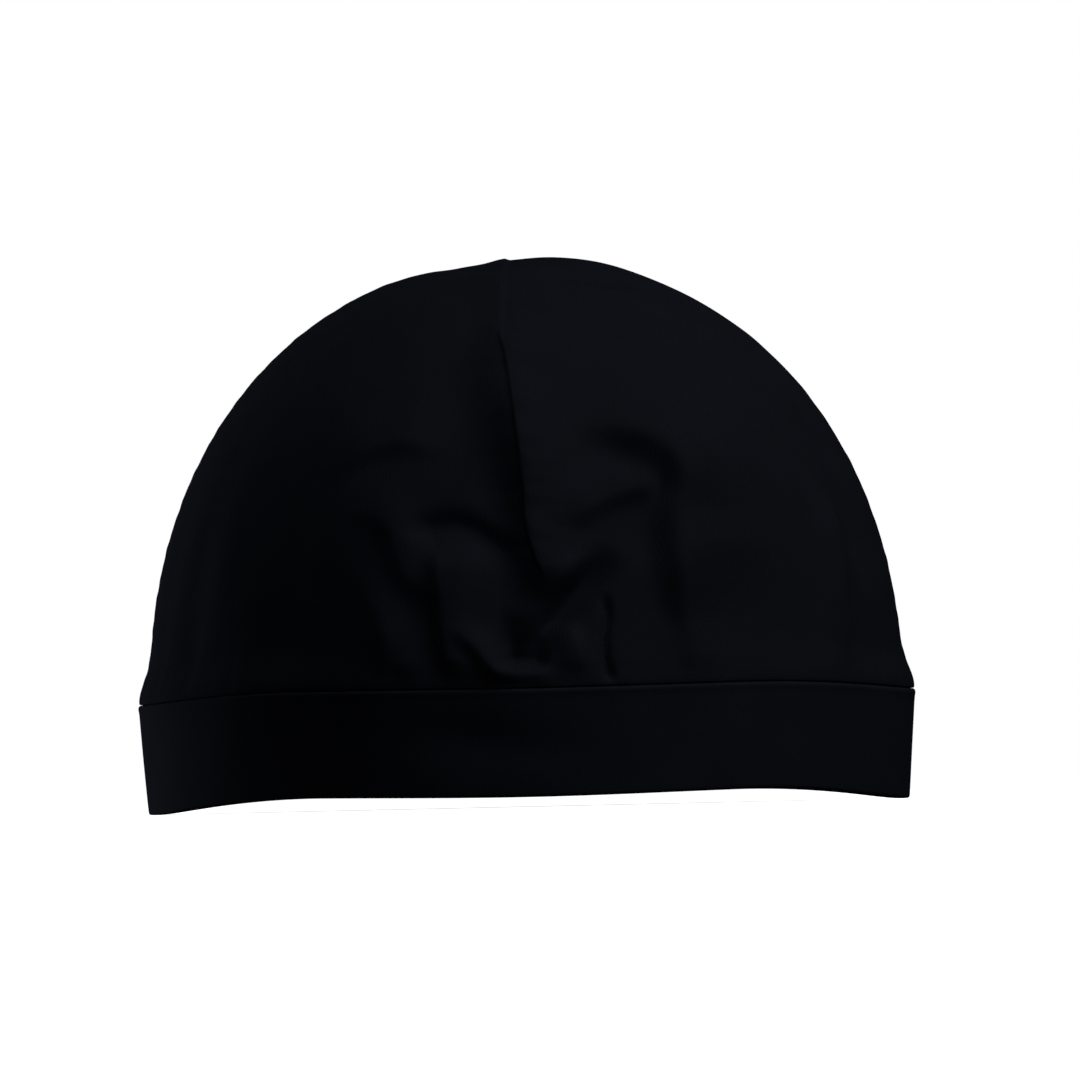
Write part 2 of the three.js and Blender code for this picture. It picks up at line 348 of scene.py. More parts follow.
def rim_lift(x, y):
    """How far the rim lifts at a place seen from above."""
    from_side = np.degrees(np.arctan2(np.abs(y) / LENGTHWISE, np.abs(x)))
    raised = smooth(REST_ANGLE, LIFTED_ANGLE, from_side)
    lift = np.where(y < 0, FRONT_LIFT, BACK_LIFT)
    return raised * (lift - MIDDLE_SAG * bell(90 - from_side, MIDDLE_SAG_WIDTH))


def lift_at(x, y, z):
    """How far the cloth lifts with the rim, less and less up to the dome."""
    below_seam = 1 - (1 - SEAM_SHARE_OF_LIFT) * np.minimum(z / BAND_TOP, 1)
    return rim_lift(x, y) * below_seam * (1 - smooth(BAND_TOP, LIFT_FADES_AT, z))


def crown_normal(x, y, z):
    """Outward direction of the smooth crown, as an array of vectors."""
    across = np.maximum(np.hypot(x, y / LENGTHWISE), 1e-6)
    level = (across / CROWN_HALF_WIDTH) ** (ROUNDNESS - 1) / (CROWN_HALF_WIDTH * across)
    height = CROWN_TOP - SHOULDER
    up = np.maximum((z - SHOULDER) / height, 0) ** (ROUNDNESS - 1) / height
    normal = np.stack([level * x, level * y / LENGTHWISE**2, up], axis=-1)
    return normal / np.linalg.norm(normal, axis=-1, keepdims=True)


def spread_by(positions, density, count):
    """A number of positions along a range, crowded where the density is high."""
    pace = (density[1:] + density[:-1]) / 2 * np.diff(positions)
    total = np.concatenate([[0], np.cumsum(pace)])
    return np.interp(np.linspace(0, total[-1], count), total, positions)


MERGE_WITHIN = 0.002
SMOOTH_UP_TO = math.radians(60)


def select_only(piece):
    """Leaves edit mode, and makes the piece the only one that is selected."""
    if bpy.context.object and bpy.context.object.mode != "OBJECT":
        bpy.ops.object.mode_set(mode="OBJECT")
    bpy.ops.object.select_all(action="DESELECT")
    piece.select_set(True)
    bpy.context.view_layer.objects.active = piece


def cloth_piece(name, points, faces, uv):
    """An object of these points in millimetres, with its knit map, its seams merged."""
    mesh = bpy.data.meshes.new(name)
    mesh.from_pydata((points * MM).tolist(), [], faces)
    layer = mesh.uv_layers.new(name="Knit")
    layer.data.foreach_set("uv", uv.ravel())
    piece = bpy.data.objects.new(name, mesh)
    bpy.context.scene.collection.objects.link(piece)
    select_only(piece)
    bpy.ops.object.mode_set(mode="EDIT")
    bpy.ops.mesh.select_all(action="SELECT")
    bpy.ops.mesh.remove_doubles(threshold=MERGE_WITHIN * MM)
    bpy.ops.object.mode_set(mode="OBJECT")
    bpy.ops.object.shade_smooth_by_angle(angle=SMOOTH_UP_TO)
    return piece


def edge_loop(index):
    """The places round the edge of a grid of places, in order."""
    return np.concatenate([index[0, :], index[1:, -1], index[-1, -2::-1], index[-2:0:-1, 0]])


def closed_shell(name, outer, inner, uv):
    """A closed mesh of an outer grid of points and an inner one, at half its rows and columns."""
    rows, columns = outer.shape[:2]
    index = np.arange(rows * columns).reshape(rows, columns)
    inner = inner[::2, ::2]
    inner_index = np.arange(inner.shape[0] * inner.shape[1]).reshape(inner.shape[:2])
    inner_index = inner_index + rows * columns
    quads = []
    for grid, order in ((index, (0, 1, 2, 3)), (inner_index, (0, 3, 2, 1))):
        corners = (grid[:-1, :-1], grid[:-1, 1:], grid[1:, 1:], grid[1:, :-1])
        quads.append(np.stack([corners[k].ravel() for k in order], axis=1))
    fine = edge_loop(index)
    coarse = edge_loop(inner_index)
    first, middle, last = fine[::2], fine[1::2], np.roll(fine, -2)[::2]
    quads.append(np.stack([last, middle, coarse, np.roll(coarse, -1)], axis=1))
    quads = np.concatenate(quads)
    thirds = np.stack([middle, first, coarse], axis=1)
    points = np.concatenate([outer.reshape(-1, 3), inner.reshape(-1, 3)])
    places = np.concatenate([uv.reshape(-1, 2), uv[::2, ::2].reshape(-1, 2)])
    corners = np.concatenate([quads.ravel(), thirds.ravel()])
    return cloth_piece(name, points, quads.tolist() + thirds.tolist(), places[corners])


# The grid of a crown panel. Its rows close in on a pole a little left of the middle, and the
# ones wider than CENTRED_BEYOND are centred on the cap.
CROWN_ROWS = 225
PANEL_COLUMNS = 281
DART_SAMPLES = 300
POLE_X = -2.8
NEAR_POLE = 12
CENTRED_BEYOND = 40
DART_MEETS_POLE = 6
SHIFT_ENDS_AT = math.radians(80)
SEAM_GAP = 0.03
BESIDE_SEAM = (6.0, 4.6, 3.5, 2.6, 1.9, 1.35, 0.95, 0.62, 0.36, 0.16, 0.04, 0.0)

# The crown's lower edge as (outwards, height) places: first from the half width of the hem,
# inside the band, and then from that of the foot, where the cloth comes out over the band.
HEM_TURN = ((0, HEM_BOTTOM), (0, 20.4), (0.1, 22.6), (0.6, 23.7))
FOOT_TURN = ((-1.1, 24.3), (-0.3, 24.38), (-0.04, FOOT))


def crown_rows(count):
    """Half width and height of the crown's rows, hem to top, and the way there."""
    turn = np.linspace(0.004, math.pi / 2, 1500)
    power = 2 / ROUNDNESS
    height = SHOULDER + (CROWN_TOP - SHOULDER) * np.sin(turn) ** power
    half = CROWN_HALF_WIDTH * np.maximum(np.cos(turn), 0) ** power
    half += FOOT_SPREAD * bell(height - SHOULDER, FOOT_SPREAD_HEIGHT)
    half[-1] = 0
    edge = [(HEM_HALF_WIDTH + out, up) for out, up in HEM_TURN]
    edge += [(half[0] + out, up) for out, up in FOOT_TURN]
    turn_in = spline([*edge, (half[0], height[0])], 200)[:-1]
    half = np.concatenate([turn_in[:, 0], half])
    height = np.concatenate([turn_in[:, 1], height])
    walked = np.concatenate([[0], np.cumsum(np.hypot(np.diff(half), np.diff(height)))])
    # The rows crowd at the folds and the top, and most at the foot.
    density = (1 + 1.7 * bell(height - 44, 26) + 3 * bell(height - SHOULDER, 1.6)
               + 0.6 * bell(height - 116, 8))
    places = spread_by(walked, density, count)
    return np.interp(places, walked, half), np.interp(places, walked, height), places


def panel_angles(half_length, allowance):
    """Each column's angle from the panel's middle, for a row of this half length."""
    squeeze = min(1.0, half_length / NEAR_POLE)
    beside = SEAM_GAP + np.array(BESIDE_SEAM + allowance) * squeeze
    edge = np.arccos(np.clip(beside / max(half_length, 1e-9), -1, 1))
    reach = np.degrees(edge[0])
    steps = np.linspace(-reach, reach, 2001)
    scale = max(reach / 90, 1e-6)
    # The columns crowd at the folds in the middle, and most at the dart.
    density = 1 + 2.2 * bell(steps, 32 * scale) + 9 * bell(steps, scale)
    main = np.radians(spread_by(steps, density, PANEL_COLUMNS - 2 * len(edge) + 2))
    return np.concatenate([-edge[:0:-1], main, edge[1:]])


def panel_grid(panel, dart):
    """Places of a panel on the smooth crown, its rows' half widths, and the way up to them.

    Its middle column runs along the dart's line.
    """
    half, height, walked = crown_rows(CROWN_ROWS)
    angles = np.stack([panel_angles(row * LENGTHWISE, panel.allowance) for row in half])
    across = np.zeros(len(half))
    lifted = height + lift_at(across, across + panel.side * half, height)
    half = half[:, None]
    centre = POLE_X * smooth(CENTRED_BEYOND, NEAR_POLE, half)
    shift = np.interp(lifted, dart[:, 1], dart[:, 0])[:, None] - centre
    shift *= smooth(0, DART_MEETS_POLE, half)
    limit = math.cos(SHIFT_ENDS_AT)
    middle = np.clip((np.cos(angles) - limit) / (1 - limit), 0, 1) ** 2
    sine = np.clip(np.sin(angles) + shift / np.maximum(half, 1) * middle, -1, 1)
    cosine = np.where(middle > 0, np.sqrt(1 - sine**2), np.cos(angles))
    x = centre + half * sine
    y = panel.side * LENGTHWISE * half * cosine
    share = np.minimum(np.hypot(x, y / LENGTHWISE) / CROWN_HALF_WIDTH, 1)
    on_dome = SHOULDER + (CROWN_TOP - SHOULDER) * (1 - share**ROUNDNESS) ** (1 / ROUNDNESS)
    z = np.where(centre < 0, on_dome, height[:, None])
    return np.stack([x, y, z], axis=-1), half, walked


# How far from the side seams each kind of relief has come in, and the swells above the foot.
FORMS_COME_IN = 25
CREASES_COME_IN = 9
SLACK_COMES_IN = 12
PUCKERS_COME_IN = 20
SWELLS_COME_IN = 6

# The heights at which the slack and the gathers start, are full, start to fade, and end.
SLACK_DEPTH = 0.16
SLACK_HEIGHTS = (25, 40, 50, 95)
GATHER_DEPTH = 0.07
GATHER_HEIGHTS = (25, 27.5, 27, 46)


def soft_waves(x, y, z, side):
    """Slack that hangs upright round the crown, with small gathers over the band."""
    way = np.arctan2(x, np.abs(y) / LENGTHWISE) * CROWN_HALF_WIDTH
    slack = waves(way, ((1, 0.23, side + z * 0.02), (0.8, 0.37, 2 - z * 0.03),
                        (0.5, 0.11, 0.5 + z * 0.05)))
    gathers = waves(way, ((1, 0.71, side), (0.8, 1.13, 2 * side), (0.6, 0.37, 0.5)))
    return (SLACK_DEPTH * slack * in_and_out(z, *SLACK_HEIGHTS)
            + GATHER_DEPTH * gathers * in_and_out(z, *GATHER_HEIGHTS))


# Puckers along the seams. A side seam is followed by its height, with a share of x that
# takes over where it runs across the top.
PUCKER_WAVES = ((1, 0.98, 0), (0.7, 1.63, 1.1), (0.6, 0.43, 2))
PUCKER_REACH = 6.0
STITCHED_FLAT = 0.9
DART_PUCKER = 0.09
SIDE_PUCKER = 0.05
SIDE_PUCKER_RUN = 0.4


def seam_puckers(distance, along):
    """Small puckers that a seam pulls into the cloth beside it."""
    beside = bell(distance, PUCKER_REACH) * (1 - bell(distance, STITCHED_FLAT))
    return waves(along, PUCKER_WAVES) * beside


# The dart's seam shows as a step with a groove at its foot, and near the top, where its
# cloth is turned the other way, as a step that faces the other side.
DART_STEP = 0.6
DART_STEP_REACH = 5.0
DART_EDGE = 0.6
DART_GROOVE = 0.15
DART_GROOVE_REACH = 0.25
DART_GROOVE_LEFT = 0.35
TOP_STEP = 0.5
TOP_STEP_REACH = 3.5
TOP_EDGE = 0.8


def sewn_share(z):
    """0 below the dart's tip and 1 where its seam is whole."""
    return smooth(DART_TIP, DART_TIP + DART_TIP_FADE, z)


def dart_relief(to_dart, z, turns):
    """The dart's seam: a sharp step down to its left, and above its turn to its right."""
    right = to_dart > 0
    step = np.where(right, bell(to_dart, DART_STEP_REACH), bell(to_dart, DART_EDGE))
    groove = bell(to_dart + DART_GROOVE_LEFT, DART_GROOVE_REACH)
    upper = np.where(right, bell(to_dart, TOP_EDGE), bell(to_dart, TOP_STEP_REACH))
    turned = smooth(*turns, z)
    lower = DART_STEP * step - DART_GROOVE * groove
    return (TOP_STEP * upper * turned + lower * (1 - turned)) * sewn_share(z)


# At a side seam the panels' edges turn down into it, and the allowance lies below them.
SEAM_TURN = 0.8
SEAM_SINK = 0.42
ALLOWANCE_DEPTH = 1.45
ALLOWANCE_RISES_WITHIN = 4


def side_seam_relief(to_seam, half):
    """Relief of a side seam, where the cloth only sinks, in rows of this half width."""
    near_edge = np.clip(1 - np.maximum(to_seam, 0) / SEAM_TURN, 0, 1)
    turned_down = SEAM_SINK * (1 - np.sqrt(1 - near_edge**2))
    past_seam = to_seam < -0.001
    below = ALLOWANCE_DEPTH * past_seam * np.minimum(half / ALLOWANCE_RISES_WITHIN, 1)
    return -turned_down - below


def knit_map(base, walked):
    """Each place's own measure on the cloth: across from the middle column, and up."""
    run = np.linalg.norm(np.diff(base, axis=1), axis=-1)
    run = np.concatenate([np.zeros((len(run), 1)), np.cumsum(run, axis=1)], axis=1)
    run -= run[:, run.shape[1] // 2][:, None]
    return np.stack([run, np.broadcast_to(walked[:, None], run.shape)], axis=-1)


def crown_panel(name, panel, cloth):
    """One panel of the crown as a closed shell."""
    dart = spline(panel.dart, DART_SAMPLES)
    base, half, walked = panel_grid(panel, dart)
    x, y, z = base[..., 0], base[..., 1], base[..., 2]
    normal = crown_normal(x, y, z)
    lift = lift_at(x, y, z)
    seen = z + lift
    from_side = panel.side * y
    above_foot = smooth(0, SWELLS_COME_IN, z - FOOT)
    forms = swell_rise(panel.sways, x, seen) + swell_rise(panel.swells, x, seen) * above_foot
    creases = crease_rise(panel.creases, x, seen, z - FOOT)
    rise = forms * smooth(0, FORMS_COME_IN, from_side) + swell_rise(TOP_SWELLS, x, seen)
    rise += creases * smooth(0, CREASES_COME_IN, from_side)
    rise += soft_waves(x, y, seen, panel.side) * smooth(0, SLACK_COMES_IN, from_side)

    to_dart = x - np.interp(seen, dart[:, 1], dart[:, 0])
    rise += dart_relief(to_dart, seen, panel.seam_turns)
    beside_dart = sewn_share(seen) * smooth(0, PUCKERS_COME_IN, from_side)
    rise += DART_PUCKER * seam_puckers(to_dart, seen) * beside_dart
    to_seam = from_side - SEAM_GAP
    rise += SIDE_PUCKER * seam_puckers(to_seam, seen + x * SIDE_PUCKER_RUN) * above_foot
    rise += side_seam_relief(to_seam, half)

    outer = base + normal * rise[..., None]
    outer[..., 2] += lift
    inner = outer - normal * cloth
    uv = knit_map(base, walked)
    if panel.side > 0:
        outer, inner, uv = outer[:, ::-1], inner[:, ::-1], uv[:, ::-1]
    return closed_shell(name, outer, inner, uv)


class BEANIE_OT_crown(bpy.types.Operator):
    """Makes the front and the back panel of the crown, with their darts and folds"""

    bl_idname = "beanie.crown"
    bl_label = "Crown panels"

    def execute(self, context):
        cloth = context.scene.beanie_sizes.cloth / MM
        jersey = fine_jersey("black single jersey", context.scene.beanie_jersey.crown_colour)
        for node, panel in CROWN_PANELS.items():
            piece = crown_panel(f"{node}_panel", panel, cloth)
            piece.data.materials.append(jersey)
            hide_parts(node)
            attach(piece, "root")
        return {"FINISHED"}


# The band's section. Its top edge is rolled into a bead, its two layers lie a slit apart, and
# its fold at the rim is pressed nearly square. ROLL holds (outwards, down) places from the
# outer layer's top, and INNER_EDGE the same from the inner layer's.
BAND_COLUMNS = 560
RIM_STEPS = 18
RIM_SQUARENESS = 0.55
RIM_FOLD_HEIGHT = 1.0
ROLL = ((-0.12, 2.4), (-0.02, 1.6), (0.09, 0.95), (0.02, 0.42), (-0.26, 0.11), (-0.62, 0.03),
        (-0.98, 0.2), (-1.15, 0.7))
SLIT = 0.15
SLIT_BOTTOM = 1.3
SLIT_TOP = BAND_TOP - 2
INNER_EDGE = ((1.1, 0.8), (0.7, 0.85), (0.25, 1.3), (0, 2))
HEM_ROOM = 0.3


def band_section():
    """The folded strip in section, as (half width, height) places round its outline."""
    rim = BAND_RIM_HALF_WIDTH
    top = BAND_TOP_HALF_WIDTH
    behind = HEM_HALF_WIDTH + HEM_ROOM
    roll = spline([(top + out, BAND_TOP - down) for out, down in ROLL], 22)
    outside = np.linspace((rim + 0.06, RIM_FOLD_HEIGHT), roll[0], 32)[:-1]
    slit_out = np.linspace((top - 1.2, SLIT_TOP), (rim - 1.1, SLIT_BOTTOM), 8)
    slit_in = slit_out[::-1] - (SLIT, 0)
    inner_edge = [(behind + out, BAND_TOP - down) for out, down in INNER_EDGE]
    inside = np.linspace(inner_edge[-1], (behind, HEM_BOTTOM), 5)[1:]
    low_inside = np.linspace((behind - 0.1, HEM_BOTTOM - 1.2),
                             (rim - BAND_WALL, RIM_FOLD_HEIGHT), 10)
    turn = np.radians(np.linspace(180, 360, RIM_STEPS))[1:-1]
    across = np.sign(np.cos(turn)) * np.abs(np.cos(turn)) ** RIM_SQUARENESS
    drop = np.abs(np.sin(turn)) ** RIM_SQUARENESS
    fold = np.stack([rim - BAND_WALL / 2 + (BAND_WALL / 2 + 0.02) * across,
                     RIM_FOLD_HEIGHT * (1 - drop)], axis=1)
    return np.concatenate([outside, roll, slit_out, slit_in, inner_edge, inside, low_inside, fold])


# Waves round the band as (height, number round it, start), and its join at the back.
BAND_WAVES = ((1, 12, 0.7), (0.7, 22, 2))
BAND_WAVE_DEPTH = 0.1
JOIN_SINK = 0.5
JOIN_REACH = 0.6


def band_strip(name):
    """The band as a closed ring, which starts and ends at its join at the back."""
    section = band_section()
    angle = np.linspace(-math.pi, math.pi, BAND_COLUMNS + 1)
    half = section[:, 0][:, None]
    x = half * np.sin(angle)
    y = -half * np.cos(angle) * LENGTHWISE
    z = np.broadcast_to(section[:, 1][:, None], x.shape)
    normal = crown_normal(x, y, np.full(x.shape, SHOULDER))
    lift = lift_at(x, y, z)
    sways = np.where(y < 0, swell_rise(FRONT_SWAYS, x, z + lift),
                     swell_rise(BACK_SWAYS, x, z + lift))
    between_edges = np.sin(np.clip(z / BAND_TOP, 0, 1) * math.pi)
    to_join = (math.pi - np.abs(angle)) * CROWN_HALF_WIDTH * LENGTHWISE
    on_outside = half > section[:, 0].mean()
    rise = (sways * smooth(0, FORMS_COME_IN, np.abs(y))
            + BAND_WAVE_DEPTH * waves(angle, BAND_WAVES) * between_edges
            - JOIN_SINK * bell(to_join, JOIN_REACH) * on_outside)
    points = np.stack([x, y, z], axis=-1) + normal * rise[..., None]
    points[..., 2] += lift
    index = np.arange(x.size).reshape(x.shape)
    ring = np.concatenate([index, index[:1]])
    quads = np.stack([ring[:-1, :-1], ring[:-1, 1:], ring[1:, 1:], ring[1:, :-1]], axis=-1)
    steps = np.hypot(*np.diff(np.concatenate([section, section[:1]]), axis=0).T)
    walked = np.concatenate([[0], np.cumsum(steps)])
    u = np.broadcast_to(angle * CROWN_HALF_WIDTH, ring.shape)
    uv = np.stack([u, np.broadcast_to(walked[:, None], ring.shape)], axis=-1)
    corners = np.stack([uv[:-1, :-1], uv[:-1, 1:], uv[1:, 1:], uv[1:, :-1]], axis=-2)
    return cloth_piece(name, points.reshape(-1, 3), quads.reshape(-1, 4).tolist(), corners)


class BEANIE_OT_band(bpy.types.Operator):
    """Makes the folded band"""

    bl_idname = "beanie.band"
    bl_label = "Band"

    def execute(self, context):
        band = band_strip("band_strip")
        # The band's jersey is the crown's black painted a little lighter. This is painted light
        # that makes up for the shade on the band, which faces a little down.
        colour = context.scene.beanie_jersey.band_colour_painted_lighter
        band.data.materials.append(fine_jersey("black doubled jersey with painted light", colour))
        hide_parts("band")
        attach(band, "root")
        return {"FINISHED"}


def from_hex(code):
    """Linear colour, with an alpha of 1, of an sRGB hex code."""
    channels = [int(code[place:place + 2], 16) / 255 for place in (0, 2, 4)]
    linear = [c / 12.92 if c <= 0.04045 else ((c + 0.055) / 1.055) ** 2.4 for c in channels]
    return (*linear, 1.0)


def add_node(material, kind, inputs=None, links=None, **settings):
    """Adds a node with its settings, its inputs' values, and links into it."""
    node = material.node_tree.nodes.new(kind)
    for name, value in settings.items():
        setattr(node, name, value)
    for name, value in (inputs or {}).items():
        node.inputs[name].default_value = value
    for name, output in (links or {}).items():
        material.node_tree.links.new(output, node.inputs[name])
    return node


def blank_material(name):
    """A material with no nodes yet."""
    material = bpy.data.materials.new(name)
    material.use_nodes = True
    material.node_tree.nodes.clear()
    return material


# Spacing of the knit's wales and courses in millimetres. The real jersey's are about 0.6,
# too fine to show, so they are drawn a little coarser.
WALE = 0.8
COURSE = 0.65

# The legs of a loop slant this many courses for each wale. The wales' ribs and the fuzz are
# this high against the loops, and the knit's depth is in millimetres.
LOOP_SLANT = 1.3
RIB_HEIGHT = 0.8
FUZZ_HEIGHT = 0.9
KNIT_DEPTH = 0.06
KNIT_STRENGTH = 0.2

# Size in millimetres of the fuzz's tufts and of the patches where the dye took more or less,
# and how much lighter or darker they are.
TUFT = 0.714
DYE_PATCH = 11.1
DYE_UNEVENNESS = 0.12


def fine_jersey(name, colour):
    """Fine cotton jersey, single knit and piece dyed black: matt, with a faint fuzz."""
    material = blank_material(name)
    place = add_node(material, "ShaderNodeUVMap", uv_map="Knit")
    scaled = add_node(material, "ShaderNodeVectorMath", {1: (1 / WALE, 1 / COURSE, 1)},
                      {0: place.outputs[0]}, operation="MULTIPLY")
    parts = add_node(material, "ShaderNodeSeparateXYZ", links={0: scaled.outputs[0]})
    across = add_node(material, "ShaderNodeMath", links={0: parts.outputs["X"]},
                      operation="FRACT")
    centred = add_node(material, "ShaderNodeMath", {1: 0.5}, {0: across.outputs[0]},
                       operation="SUBTRACT")
    leg = add_node(material, "ShaderNodeMath", links={0: centred.outputs[0]},
                   operation="ABSOLUTE")
    slant = add_node(material, "ShaderNodeMath", {1: LOOP_SLANT},
                     {0: leg.outputs[0], 2: parts.outputs["Y"]}, operation="MULTIPLY_ADD")
    cycles = add_node(material, "ShaderNodeMath", {1: 2 * math.pi}, {0: slant.outputs[0]},
                      operation="MULTIPLY")
    loop = add_node(material, "ShaderNodeMath", links={0: cycles.outputs[0]}, operation="SINE")
    ribs = add_node(material, "ShaderNodeMath", {1: 2 * math.pi}, {0: across.outputs[0]},
                    operation="MULTIPLY")
    rib = add_node(material, "ShaderNodeMath", links={0: ribs.outputs[0]}, operation="COSINE")
    knit = add_node(material, "ShaderNodeMath", {1: -RIB_HEIGHT},
                    {0: rib.outputs[0], 2: loop.outputs[0]}, operation="MULTIPLY_ADD")
    solid = add_node(material, "ShaderNodeTexCoord")
    fuzz = add_node(material, "ShaderNodeTexNoise", {"Scale": 1 / (TUFT * MM), "Detail": 2.0},
                    {"Vector": solid.outputs["Object"]})
    height = add_node(material, "ShaderNodeMath", {1: FUZZ_HEIGHT},
                      {0: fuzz.outputs[0], 2: knit.outputs[0]}, operation="MULTIPLY_ADD")
    bump = add_node(material, "ShaderNodeBump",
                    {"Strength": KNIT_STRENGTH, "Distance": KNIT_DEPTH * MM},
                    {"Height": height.outputs[0]})
    dye = add_node(material, "ShaderNodeTexNoise", {"Scale": 1 / (DYE_PATCH * MM), "Detail": 4.0},
                   {"Vector": solid.outputs["Object"]})
    dark = tuple(c * (1 - DYE_UNEVENNESS) for c in colour[:3]) + (1.0,)
    light = tuple(c * (1 + DYE_UNEVENNESS) for c in colour[:3]) + (1.0,)
    tint = add_node(material, "ShaderNodeMix", {"A": dark, "B": light},
                    {"Factor": dye.outputs[0]}, data_type="RGBA")
    cloth = add_node(material, "ShaderNodeBsdfPrincipled",
                     {"Roughness": 0.85, "Specular IOR Level": 0.0},
                     {"Base Color": tint.outputs[2], "Normal": bump.outputs[0]})
    add_node(material, "ShaderNodeOutputMaterial", links={"Surface": cloth.outputs[0]})
    return material


# The camera looks nearly level from far off, just above the floor, as the photo does. The
# photo spans PHOTO_WIDTH at the cap's middle, and its roll is in degrees.
PHOTO_WIDTH = 239.3
PHOTO_CENTRE = (3.7, 0.0, 59.0)
PHOTO_ROLL = 1.3
CAMERA_HEIGHT = 6
SENSOR = 36

LIGHT_DISTANCE = 1600
LIGHT_AIM = (0, 0, 60)


class SoftLight(NamedTuple):
    """A square softbox, its size in metres and its power in watts.

    Its angle is round from the front to the right, and its height above level, in degrees.
    """

    name: str
    angle: float
    height: float
    size: float
    power: float


SOFT_LIGHTS = (
    SoftLight("key light", 52, 48, 0.9, 19.5),
    SoftLight("front fill", 5, -5, 1.0, 2.0),
    SoftLight("left rim light", 226, -4, 0.9, 37.0),
    SoftLight("right rim light", 150, 0, 0.8, 3.0),
    SoftLight("top light", 0, 85, 0.9, 5.0),
)


class BEANIE_OT_studio(bpy.types.Operator):
    """Makes the floor, the backdrop, the lights and the camera"""

    bl_idname = "beanie.studio"
    bl_label = "Studio"

    def execute(self, context):
        studio = context.scene.beanie_studio
        bpy.ops.object.select_all(action="DESELECT")
        bpy.ops.mesh.primitive_circle_add(vertices=96, radius=studio.room, fill_type="NGON")
        floor = context.object
        floor.name = "floor"
        floor.data.materials.append(pale_floor(studio.floor_colour))
        bpy.ops.mesh.primitive_uv_sphere_add(segments=64, ring_count=32, radius=studio.room)
        backdrop = context.object
        backdrop.name = "backdrop"
        backdrop.data.materials.append(white_backdrop())
        for stand in (floor, backdrop):
            stand.visible_diffuse = False
            stand.visible_glossy = False
            stand.visible_shadow = False
        for light in SOFT_LIGHTS:
            add_soft_light(light, studio.light_level)
        context.scene.world = studio_air(studio.air)
        photo_camera(studio.camera_distance)
        context.scene.view_settings.view_transform = "Standard"
        return {"FINISHED"}


# The floor glows a little less than the backdrop near the cap, and as much far off.
FLOOR_GLOW = 0.78
GLOW_RISES_FROM = 150
GLOW_RISES_TO = 1200


def pale_floor(colour):
    """Matt white paper sweep with a painted glow that grows far out, so that it meets the
    backdrop.
    """
    material = blank_material("paper sweep")
    place = add_node(material, "ShaderNodeTexCoord")
    away = add_node(material, "ShaderNodeVectorMath", links={0: place.outputs["Object"]},
                    operation="LENGTH")
    glow = add_node(material, "ShaderNodeMapRange",
                    {"From Min": GLOW_RISES_FROM * MM, "From Max": GLOW_RISES_TO * MM,
                     "To Min": FLOOR_GLOW, "To Max": 1.0},
                    {"Value": away.outputs["Value"]}, interpolation_type="SMOOTHSTEP")
    shine = add_node(material, "ShaderNodeEmission", {"Color": (1, 1, 1, 1)},
                     {"Strength": glow.outputs[0]})
    paper = add_node(material, "ShaderNodeBsdfDiffuse", {"Color": tuple(colour)})
    both = add_node(material, "ShaderNodeAddShader",
                    links={0: shine.outputs[0], 1: paper.outputs[0]})
    add_node(material, "ShaderNodeOutputMaterial", links={"Surface": both.outputs[0]})
    return material


def white_backdrop():
    """Evenly lit white backdrop."""
    material = blank_material("white backdrop")
    shine = add_node(material, "ShaderNodeEmission", {"Color": (1, 1, 1, 1), "Strength": 1.0})
    add_node(material, "ShaderNodeOutputMaterial", links={"Surface": shine.outputs[0]})
    return material


def studio_air(strength):
    """White light that comes evenly from all round."""
    world = bpy.data.worlds.new("studio air")
    world.use_nodes = True
    light = world.node_tree.nodes["Background"]
    light.inputs["Color"].default_value = (1, 1, 1, 1)
    light.inputs["Strength"].default_value = strength
    return world


def add_soft_light(light, level):
    """Adds a softbox that looks at the middle of the cap."""
    aim = Vector(LIGHT_AIM) * MM
    angle, height = math.radians(light.angle), math.radians(light.height)
    away = Vector((math.sin(angle) * math.cos(height), -math.cos(angle) * math.cos(height),
                   math.sin(height)))
    place = aim + away * LIGHT_DISTANCE * MM
    bpy.ops.object.light_add(type="AREA", location=place)
    lamp = bpy.context.object
    lamp.name = light.name
    lamp.data.energy = light.power * level
    lamp.data.size = light.size
    lamp.rotation_euler = (aim - place).to_track_quat("-Z", "Y").to_euler()
    lamp.visible_camera = False


def photo_camera(distance):
    """Adds the camera at this distance, with a lens that just takes in the photo's width."""
    target = Vector(PHOTO_CENTRE) * MM
    place = Vector((target.x, -distance, CAMERA_HEIGHT * MM))
    bpy.ops.object.camera_add(location=place)
    camera = bpy.context.object
    camera.name = "photo camera"
    camera.data.sensor_width = SENSOR
    camera.data.lens = SENSOR * distance / (PHOTO_WIDTH * MM)
    camera.data.clip_start = 0.1
    camera.data.clip_end = 100
    forward = (target - place).normalized()
    roll = math.radians(PHOTO_ROLL)
    right = forward.cross(Vector((math.sin(roll), 0, math.cos(roll)))).normalized()
    up = right.cross(forward)
    turned = Matrix((right, up, -forward)).transposed()
    camera.matrix_world = Matrix.Translation(place) @ turned.to_4x4()
    bpy.context.scene.camera = camera


class BeanieSizes(bpy.types.PropertyGroup):
    """Sizes of the cap"""

    cloth: FloatProperty(
        name="Cloth", description="Thickness of the jersey", default=1.3 * MM,
        min=0.5 * MM, max=3 * MM, subtype="DISTANCE", unit="LENGTH")


class BeanieJersey(bpy.types.PropertyGroup):
    """Colours of the jersey"""

    crown_colour: FloatVectorProperty(
        name="Crown colour", description="Colour of the crown's jersey",
        default=from_hex("101217"), size=4, min=0, max=1, subtype="COLOR")
    # Painted light: the crown's black made a little lighter, to make up for the shade on the band,
    # which faces a little down.
    band_colour_painted_lighter: FloatVectorProperty(
        name="Band colour", description="Colour of the band's jersey",
        default=from_hex("121419"), size=4, min=0, max=1, subtype="COLOR")


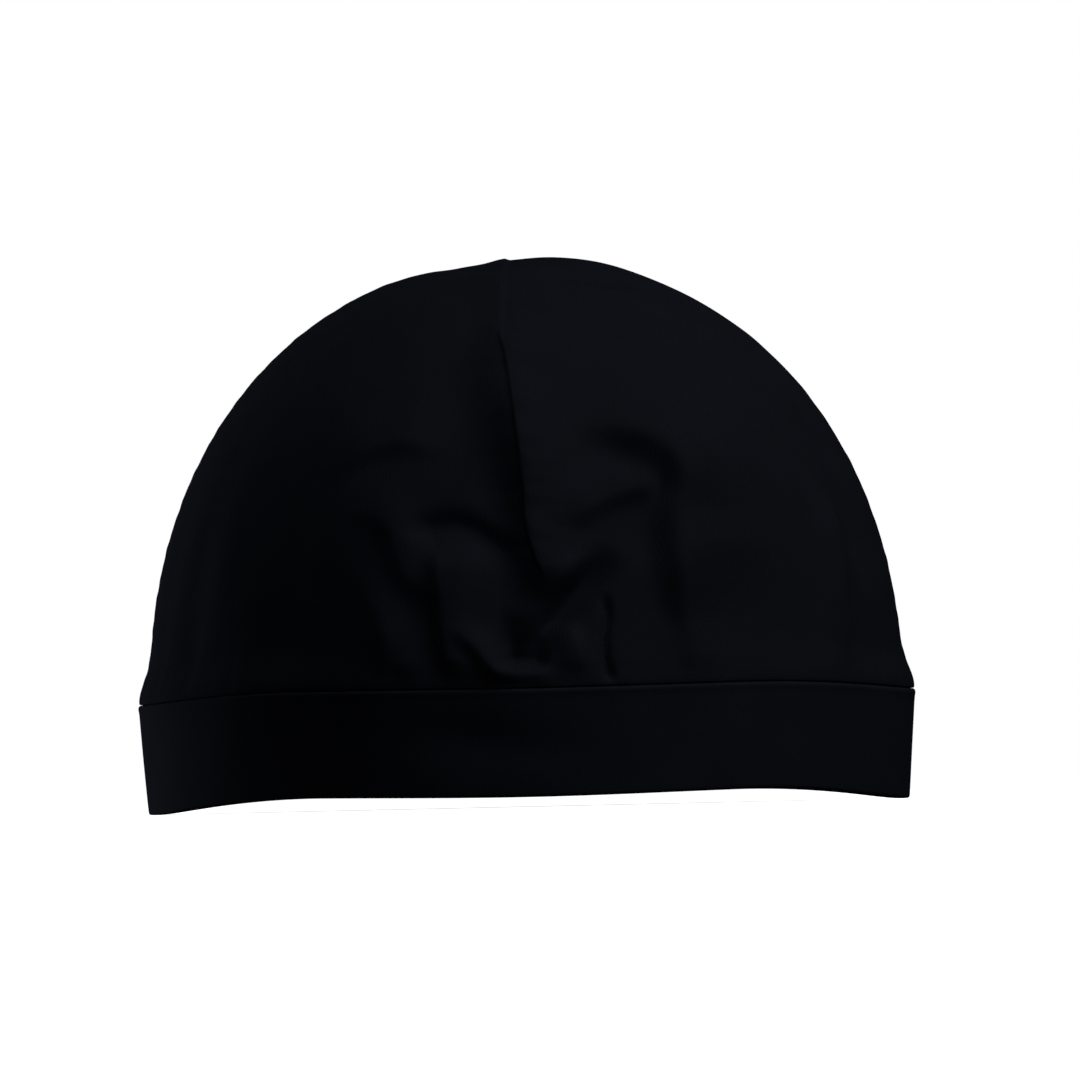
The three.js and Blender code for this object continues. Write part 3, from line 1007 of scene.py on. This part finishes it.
class BeanieStudio(bpy.types.PropertyGroup):
    """Size, light and camera of the studio"""

    room: FloatProperty(
        name="Room", description="Radius of the floor and the backdrop", default=8.0,
        min=6.5, max=9, subtype="DISTANCE", unit="LENGTH")
    floor_colour: FloatVectorProperty(
        name="Floor colour", description="Colour of the paper that the cap stands on",
        default=from_hex("e8e8e8"), size=4, min=0, max=1, subtype="COLOR")
    light_level: FloatProperty(
        name="Light level", description="Share of the softboxes' power",
        default=1.0, min=0, max=10, subtype="FACTOR")
    air: FloatProperty(
        name="Room light", description="Strength of the light from all round",
        default=0.03, min=0, max=2, subtype="FACTOR")
    camera_distance: FloatProperty(
        name="Camera distance", description="Distance of the camera from the cap's middle",
        default=4.0, min=1, max=5, subtype="DISTANCE", unit="LENGTH")


class BEANIE_PT_panel(bpy.types.Panel):
    """Lists the cap's sizes and colours, and the steps that make it"""

    bl_label = "Docker Beanie"
    bl_idname = "BEANIE_PT_panel"
    bl_space_type = "VIEW_3D"
    bl_region_type = "UI"
    bl_category = "Beanie"

    def draw(self, context):
        for group, kind in GROUPS.items():
            box = self.layout.box()
            for name in kind.__annotations__:
                box.prop(getattr(context.scene, group), name)
        for step in STEPS:
            self.layout.operator(step.bl_idname)


STEPS = (BEANIE_OT_studio, BEANIE_OT_crown, BEANIE_OT_band)
GROUPS = {"beanie_sizes": BeanieSizes, "beanie_jersey": BeanieJersey,
          "beanie_studio": BeanieStudio}


def register():
    for kind in (*GROUPS.values(), *STEPS, BEANIE_PT_panel):
        bpy.utils.register_class(kind)
    for name, kind in GROUPS.items():
        setattr(bpy.types.Scene, name, PointerProperty(type=kind))


def unregister():
    for name in GROUPS:
        delattr(bpy.types.Scene, name)
    for kind in (BEANIE_PT_panel, *reversed(STEPS), *reversed(GROUPS.values())):
        bpy.utils.unregister_class(kind)


def main():
    register()
    bpy.ops.beanie.studio()
    bpy.ops.beanie.crown()
    bpy.ops.beanie.band()
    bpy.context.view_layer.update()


if __name__ == "__main__":
    main()
